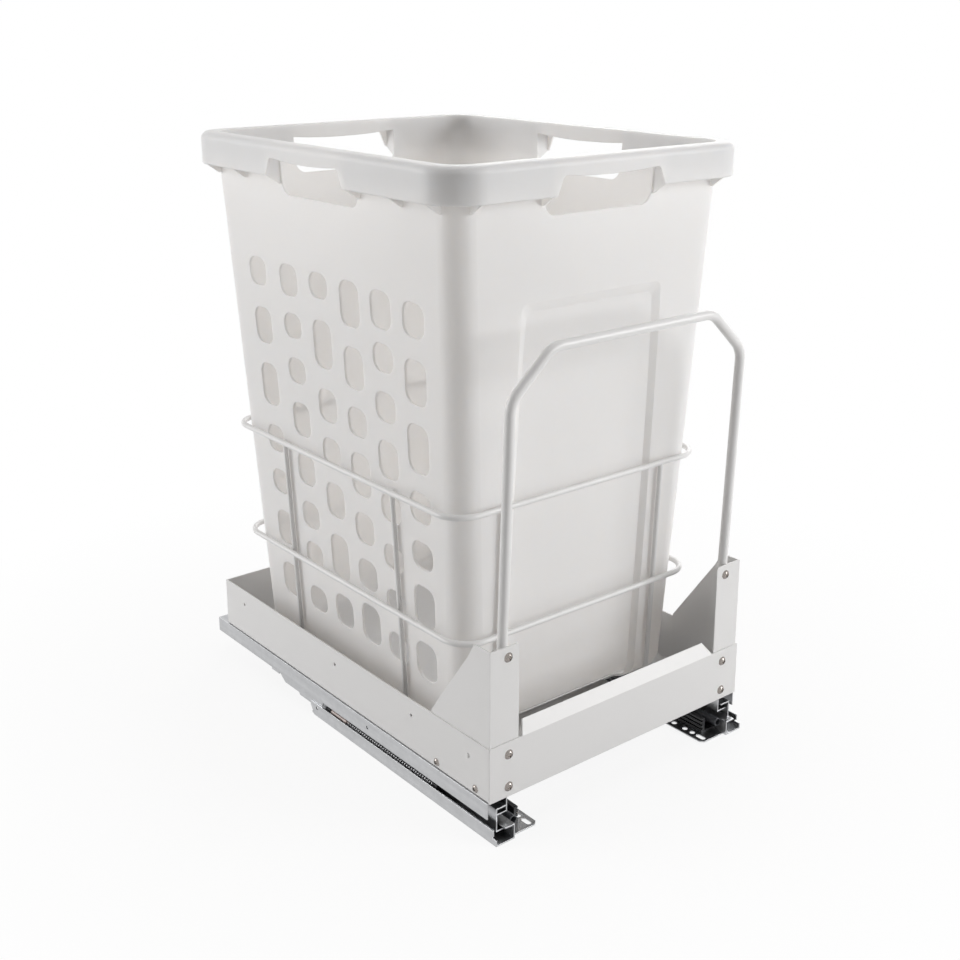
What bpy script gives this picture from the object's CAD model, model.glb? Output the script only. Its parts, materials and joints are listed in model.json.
import bpy
import json
import math
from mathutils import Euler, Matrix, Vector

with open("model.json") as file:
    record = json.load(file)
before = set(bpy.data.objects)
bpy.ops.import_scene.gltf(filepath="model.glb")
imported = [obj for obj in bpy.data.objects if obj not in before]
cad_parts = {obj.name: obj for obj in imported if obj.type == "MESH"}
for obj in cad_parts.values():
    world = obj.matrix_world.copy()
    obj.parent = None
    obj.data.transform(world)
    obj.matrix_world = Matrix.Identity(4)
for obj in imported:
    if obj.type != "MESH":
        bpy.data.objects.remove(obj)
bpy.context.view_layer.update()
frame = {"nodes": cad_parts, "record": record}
print("frame loaded,", len(frame["nodes"]), "nodes")

noiseMiddle = 0.5  # average of a noise texture


# A thin wrapper, so that shader maths reads as plain expressions
class Wire:
    def __init__(self, graph, socket):
        self.graph = graph
        self.socket = socket

    def maths(self, operation, first, second):
        settings = {"operation": operation}
        return self.graph.node("ShaderNodeMath", settings, {0: first, 1: second})

    def __add__(self, other):
        return self.maths("ADD", self, other)

    def __radd__(self, other):
        return self.maths("ADD", other, self)

    def __sub__(self, other):
        return self.maths("SUBTRACT", self, other)

    def __rsub__(self, other):
        return self.maths("SUBTRACT", other, self)

    def __mul__(self, other):
        return self.maths("MULTIPLY", self, other)

    def __rmul__(self, other):
        return self.maths("MULTIPLY", other, self)

    def clamped(self):
        values = {"Value": self, "Min": 0.0, "Max": 1.0}
        return self.graph.node("ShaderNodeClamp", {}, values)


# Node tree of a new material, or of the world when that is the owner
class Graph:
    def __init__(self, name, owner=None):
        self.owner = owner or bpy.data.materials.new(name)
        self.owner.use_nodes = True
        self.tree = self.owner.node_tree
        self.tree.nodes.clear()

    def node(self, kind, settings=None, values=None, out=0):
        made = self.tree.nodes.new(kind)
        for key, value in (settings or {}).items():
            setattr(made, key, value)
        for key, value in (values or {}).items():
            self.plug(made.inputs[key], value)
        return Wire(self, made.outputs[out]) if len(made.outputs) else None

    def plug(self, socket, value):
        if isinstance(value, Wire):
            self.tree.links.new(value.socket, socket)
        elif socket.type == "RGBA":
            socket.default_value = (*value, 1.0)
        else:
            socket.default_value = value

    def place(self, scale=(1, 1, 1)):
        spot = self.node("ShaderNodeTexCoord", out="Object")
        return self.node("ShaderNodeMapping", {}, {"Vector": spot, "Scale": scale})

    def noise(self, spot, scale, detail):
        values = {"Vector": spot, "Scale": scale, "Detail": detail}
        return self.node("ShaderNodeTexNoise", {}, values)

    def blendColour(self, factor, first, second):
        values = {0: factor, 6: first, 7: second}  # 6 and 7 are the colour inputs
        return self.node("ShaderNodeMix", {"data_type": "RGBA"}, values, out=2)

    def blendShader(self, factor, first, second):
        return self.node("ShaderNodeMixShader", {}, {0: factor, 1: first, 2: second})

    def seenBy(self, ray):
        return self.node("ShaderNodeLightPath", out=f"Is {ray} Ray")

    def edgeRound(self, radius):
        return self.node("ShaderNodeBevel", {"samples": 4}, {"Radius": radius})

    def bump(self, height, strength, distance, normal=None):
        values = {"Height": height, "Strength": strength, "Distance": distance}
        if normal is not None:
            values["Normal"] = normal
        return self.node("ShaderNodeBump", {}, values)

    def finish(self, values):
        shader = self.node("ShaderNodeBsdfPrincipled", {}, values)
        self.node("ShaderNodeOutputMaterial", {}, {"Surface": shader})
        return self.owner


# Moulded polymer of the hamper, which lets some light through
hamperLook = {
    "colour": (0.92, 0.902, 0.885),
    "warm": (0.905, 0.88, 0.858),
    "cloudScale": 4.0,
    "cloudDetail": 2.0,
    "roughness": 0.46,
    "roughSpread": 0.08,
    "edge": 0.0012,
    "grainScale": 900.0,
    "grainDetail": 2.0,
    "grainStrength": 0.25,
    "grainDepth": 0.00003,
    "waveScale": 9.0,
    "waveDetail": 1.0,
    "waveStrength": 0.35,
    "waveDepth": 0.0006,
    "scatter": 0.7,
    "scatterReach": (1.0, 0.92, 0.84),
    "scatterScale": 0.016,
}


def makeHamperFinish(look):
    graph = Graph("hamperPolymer")
    spot = graph.place()
    cloud = graph.noise(spot, look["cloudScale"], look["cloudDetail"])
    grain = graph.noise(spot, look["grainScale"], look["grainDetail"])
    wave = graph.noise(spot, look["waveScale"], look["waveDetail"])
    rounded = graph.edgeRound(look["edge"])
    soft = graph.bump(wave, look["waveStrength"], look["waveDepth"], rounded)
    fine = graph.bump(grain, look["grainStrength"], look["grainDepth"], soft)
    return graph.finish({
        "Base Color": graph.blendColour(cloud, look["colour"], look["warm"]),
        "Roughness": look["roughness"] + (cloud - noiseMiddle) * look["roughSpread"],
        "Subsurface Weight": look["scatter"],
        "Subsurface Radius": look["scatterReach"],
        "Subsurface Scale": look["scatterScale"],
        "Normal": fine,
    })


# White powder coat on sheet, tube and wire
powderLook = {
    "colour": (0.82, 0.815, 0.81),
    "shade": (0.80, 0.795, 0.79),
    "cloudScale": 6.0,
    "cloudDetail": 3.0,
    "roughness": 0.34,
    "roughSpread": 0.06,
    "coat": 0.15,
    "coatRoughness": 0.2,
    "peelScale": 420.0,
    "peelDetail": 1.5,
    "peelStrength": 0.3,
    "peelDepth": 0.00006,
    "edge": 0.0007,
}


def makePowderFinish(look):
    graph = Graph("powderCoat")
    spot = graph.place()
    cloud = graph.noise(spot, look["cloudScale"], look["cloudDetail"])
    peel = graph.noise(spot, look["peelScale"], look["peelDetail"])
    rounded = graph.edgeRound(look["edge"])
    return graph.finish({
        "Base Color": graph.blendColour(cloud, look["colour"], look["shade"]),
        "Roughness": look["roughness"] + (peel - noiseMiddle) * look["roughSpread"],
        "Coat Weight": look["coat"],
        "Coat Roughness": look["coatRoughness"],
        "Normal": graph.bump(peel, look["peelStrength"], look["peelDepth"], rounded),
    })


# Bright zinc on the runners, rolled along their length
zincLook = {
    "colour": (0.64, 0.645, 0.655),
    "dull": (0.34, 0.345, 0.355),
    "roughness": 0.30,
    "roughSpread": 0.16,
    "rollStretch": (240.0, 3.0, 240.0),
    "rollScale": 1.0,
    "rollDetail": 4.0,
    "rollShare": 0.6,
    "rollStrength": 0.25,
    "rollDepth": 0.00004,
    "spangleScale": 130.0,
    "spangleDetail": 3.0,
    "edge": 0.0006,
}


def makeZincFinish(look):
    graph = Graph("brightZinc")
    stretched = graph.place(look["rollStretch"])
    rolled = graph.noise(stretched, look["rollScale"], look["rollDetail"])
    spangle = graph.noise(graph.place(), look["spangleScale"], look["spangleDetail"])
    mixed = rolled * look["rollShare"] + spangle * (1 - look["rollShare"])
    rounded = graph.edgeRound(look["edge"])
    return graph.finish({
        "Base Color": graph.blendColour(mixed, look["dull"], look["colour"]),
        "Metallic": 1.0,
        "Roughness": look["roughness"] + (mixed - noiseMiddle) * look["roughSpread"],
        "Normal": graph.bump(rolled, look["rollStrength"], look["rollDepth"], rounded),
    })


# Bare bright metal, by material slot: screw heads and drawn spring wire
brightLooks = {
    "bright_screw": {
        "name": "screwNickel",
        "colour": (0.38, 0.35, 0.33),
        "dull": (0.20, 0.18, 0.165),
        "roughness": 0.10,
        "turnScale": 700.0,
    },
    "spring_steel": {
        "name": "springWire",
        "colour": (0.70, 0.70, 0.71),
        "dull": (0.42, 0.42, 0.43),
        "roughness": 0.22,
        "turnScale": 500.0,
    },
}
turnMarks = {"detail": 2.0, "roughSpread": 0.1, "strength": 0.2, "depth": 0.00002}


def makeBrightFinish(look):
    graph = Graph(look["name"])
    mark = graph.noise(graph.place(), look["turnScale"], turnMarks["detail"])
    return graph.finish({
        "Base Color": graph.blendColour(mark, look["colour"], look["dull"]),
        "Metallic": 1.0,
        "Roughness": look["roughness"] + mark * turnMarks["roughSpread"],
        "Normal": graph.bump(mark, turnMarks["strength"], turnMarks["depth"]),
    })


# Plastics, rubber and blackened steel inside the runners, by material slot
smallPartLooks = {
    "black_polymer": {
        "name": "blackPolymer",
        "colour": (0.012, 0.012, 0.014),
        "worn": (0.03, 0.03, 0.032),
        "roughness": 0.42,
    },
    "grey_polymer": {
        "name": "greyPolymer",
        "colour": (0.42, 0.43, 0.45),
        "worn": (0.50, 0.51, 0.52),
        "roughness": 0.38,
    },
    "pale_polymer": {
        "name": "palePolymer",
        "colour": (0.62, 0.50, 0.46),
        "worn": (0.70, 0.60, 0.56),
        "roughness": 0.30,
    },
    "black_rubber": {
        "name": "blackRubber",
        "colour": (0.010, 0.010, 0.010),
        "worn": (0.025, 0.025, 0.025),
        "roughness": 0.70,
    },
    "dark_steel": {
        "name": "darkSteel",
        "colour": (0.030, 0.032, 0.038),
        "worn": (0.10, 0.105, 0.115),
        "roughness": 0.30,
    },
}
smallPartWear = {
    "rubScale": 160.0,
    "rubDetail": 4.0,
    "roughSpread": 0.15,
    "grainScale": 1500.0,
    "grainDetail": 2.0,
    "grainStrength": 0.3,
    "grainDepth": 0.00003,
    "edge": 0.0004,
}


def makeSmallPartFinish(look, wear):
    graph = Graph(look["name"])
    spot = graph.place()
    rub = graph.noise(spot, wear["rubScale"], wear["rubDetail"])
    grain = graph.noise(spot, wear["grainScale"], wear["grainDetail"])
    rounded = graph.edgeRound(wear["edge"])
    return graph.finish({
        "Base Color": graph.blendColour(rub, look["colour"], look["worn"]),
        "Roughness": look["roughness"] + (rub - noiseMiddle) * wear["roughSpread"],
        "Normal": graph.bump(grain, wear["grainStrength"], wear["grainDepth"], rounded),
    })


# Finish of each material slot of the record
finishes = {
    "white_polymer": makeHamperFinish(hamperLook),
    "white_powder_coat": makePowderFinish(powderLook),
    "zinc_steel": makeZincFinish(zincLook),
}
for slot, look in brightLooks.items():
    finishes[slot] = makeBrightFinish(look)
for slot, look in smallPartLooks.items():
    finishes[slot] = makeSmallPartFinish(look, smallPartWear)
slotOfNode = {row["node"]: row["material_slot"] for row in frame["record"]["subparts"]}
for name, node in frame["nodes"].items():
    node.data.materials.clear()
    node.data.materials.append(finishes[slotOfNode[name]])
print("finishes on", len(frame["nodes"]), "nodes")


# Pale floor that reads white and keeps a soft shadow
floorLook = {
    "size": 14.0,
    "bounce": (0.80, 0.80, 0.80),  # what other surfaces get from it
    "seen": (0.92, 0.92, 0.92),
    "nearGlow": 0.88,  # share of plain white up to nearReach; all of it past farReach
    "nearReach": 0.30,
    "farReach": 0.75,
}


def makeFloor(look):
    half = look["size"] / 2
    corners = [(-half, -half, 0), (half, -half, 0), (half, half, 0), (-half, half, 0)]
    mesh = bpy.data.meshes.new("floor")
    mesh.from_pydata(corners, [], [(0, 1, 2, 3)])
    floor = bpy.data.objects.new("floor", mesh)
    bpy.context.scene.collection.objects.link(floor)
    graph = Graph("floorPaper")
    seen = (graph.seenBy("Camera") + graph.seenBy("Glossy")).clamped()
    distance = graph.node(
        "ShaderNodeVectorMath", {"operation": "LENGTH"}, {0: graph.place()}, out="Value"
    )
    fadeLength = look["farReach"] - look["nearReach"]
    outward = ((distance - look["nearReach"]) * (1 / fadeLength)).clamped()
    glowShare = outward * (1 - look["nearGlow"]) + look["nearGlow"]
    paper = graph.node("ShaderNodeBsdfDiffuse", {}, {"Color": look["bounce"]})
    shadowed = graph.node("ShaderNodeBsdfDiffuse", {}, {"Color": look["seen"]})
    glow = graph.node("ShaderNodeEmission", {}, {"Color": (1, 1, 1), "Strength": 1.0})
    pale = graph.blendShader(glowShare, shadowed, glow)
    whole = graph.blendShader(seen, paper, pale)
    graph.node("ShaderNodeOutputMaterial", {}, {"Surface": whole})
    mesh.materials.append(graph.owner)


makeFloor(floorLook)

# A pale room, darker at the front left; white where the camera, a mirror or glass sees it
roomLook = {
    "light": (1.0, 0.965, 0.94),
    "strength": 0.28,
    "dimStrength": 0.06,
    "dimSide": (-0.62, -0.78, 0.0),
    "dimSpread": 1.25,
    "white": 1.0,
}


def makeRoom(look):
    world = bpy.data.worlds.new("room")
    bpy.context.scene.world = world
    graph = Graph("room", world)
    sight = [graph.seenBy(ray) for ray in ("Camera", "Glossy", "Transmission")]
    seen = (sight[0] + sight[1] + sight[2]).clamped()
    direction = graph.node("ShaderNodeTexCoord", out="Generated")
    toward = graph.node(
        "ShaderNodeVectorMath",
        {"operation": "DOT_PRODUCT"},
        {0: direction, 1: look["dimSide"]},
        out="Value",
    )
    dimShare = (toward * look["dimSpread"]).clamped()
    light, dim, white = [
        graph.node("ShaderNodeBackground", {}, {"Color": colour, "Strength": look[key]})
        for colour, key in (
            (look["light"], "strength"),
            (look["light"], "dimStrength"),
            ((1, 1, 1), "white"),
        )
    ]
    glow = graph.blendShader(dimShare, light, dim)
    graph.node("ShaderNodeOutputWorld", {}, {"Surface": graph.blendShader(seen, glow, white)})


makeRoom(roomLook)

# Square soft boxes, all aimed at the middle of the object
lampAim = (0, 0, 0.3)
lampLooks = {
    "keyLamp": {"place": (1.6, -2.2, 1.05), "size": 1.6, "power": 46.0},
    "leftLamp": {"place": (-2.6, 2.2, 1.2), "size": 2.2, "power": 64.0},
    "topLamp": {"place": (0.0, 0.1, 2.8), "size": 2.0, "power": 17.0},
    "backLamp": {"place": (2.1, 1.4, 1.5), "size": 1.8, "power": 19.0},
}
for name, look in lampLooks.items():
    lamp = bpy.data.lights.new(name, "AREA")
    lamp.shape = "SQUARE"
    lamp.size = look["size"]
    lamp.energy = look["power"]
    lampObject = bpy.data.objects.new(name, lamp)
    bpy.context.scene.collection.objects.link(lampObject)
    lampObject.location = look["place"]
    aim = Vector(lampAim) - Vector(look["place"])
    lampObject.rotation_euler = aim.to_track_quat("-Z", "Y").to_euler()

# Camera at the photograph's angle: degrees, metres, and the focal length in pixels
cameraLook = {
    "place": (-0.8825, -1.1195, 0.7647),
    "turn": 38.95,
    "tilt": 15.7,
    "focal": 1355.5,
    "picture": 960.0,  # width of the picture in pixels
    "shift": -0.10,
    "sensor": 36.0,
    "near": 0.05,
    "far": 50.0,
}
camera = bpy.data.cameras.new("camera")
camera.sensor_width = cameraLook["sensor"]
camera.lens = cameraLook["focal"] / cameraLook["picture"] * cameraLook["sensor"]
camera.shift_y = cameraLook["shift"]
camera.clip_start = cameraLook["near"]
camera.clip_end = cameraLook["far"]
cameraObject = bpy.data.objects.new("camera", camera)
bpy.context.scene.collection.objects.link(cameraObject)
cameraObject.location = cameraLook["place"]
pitch = math.radians(90 - cameraLook["tilt"])
yaw = -math.radians(cameraLook["turn"])
cameraObject.rotation_euler = Euler((pitch, 0, yaw), "XYZ")
bpy.context.scene.camera = cameraObject
bpy.context.scene.view_settings.view_transform = "Standard"
print("floor, room, lamps and camera placed")
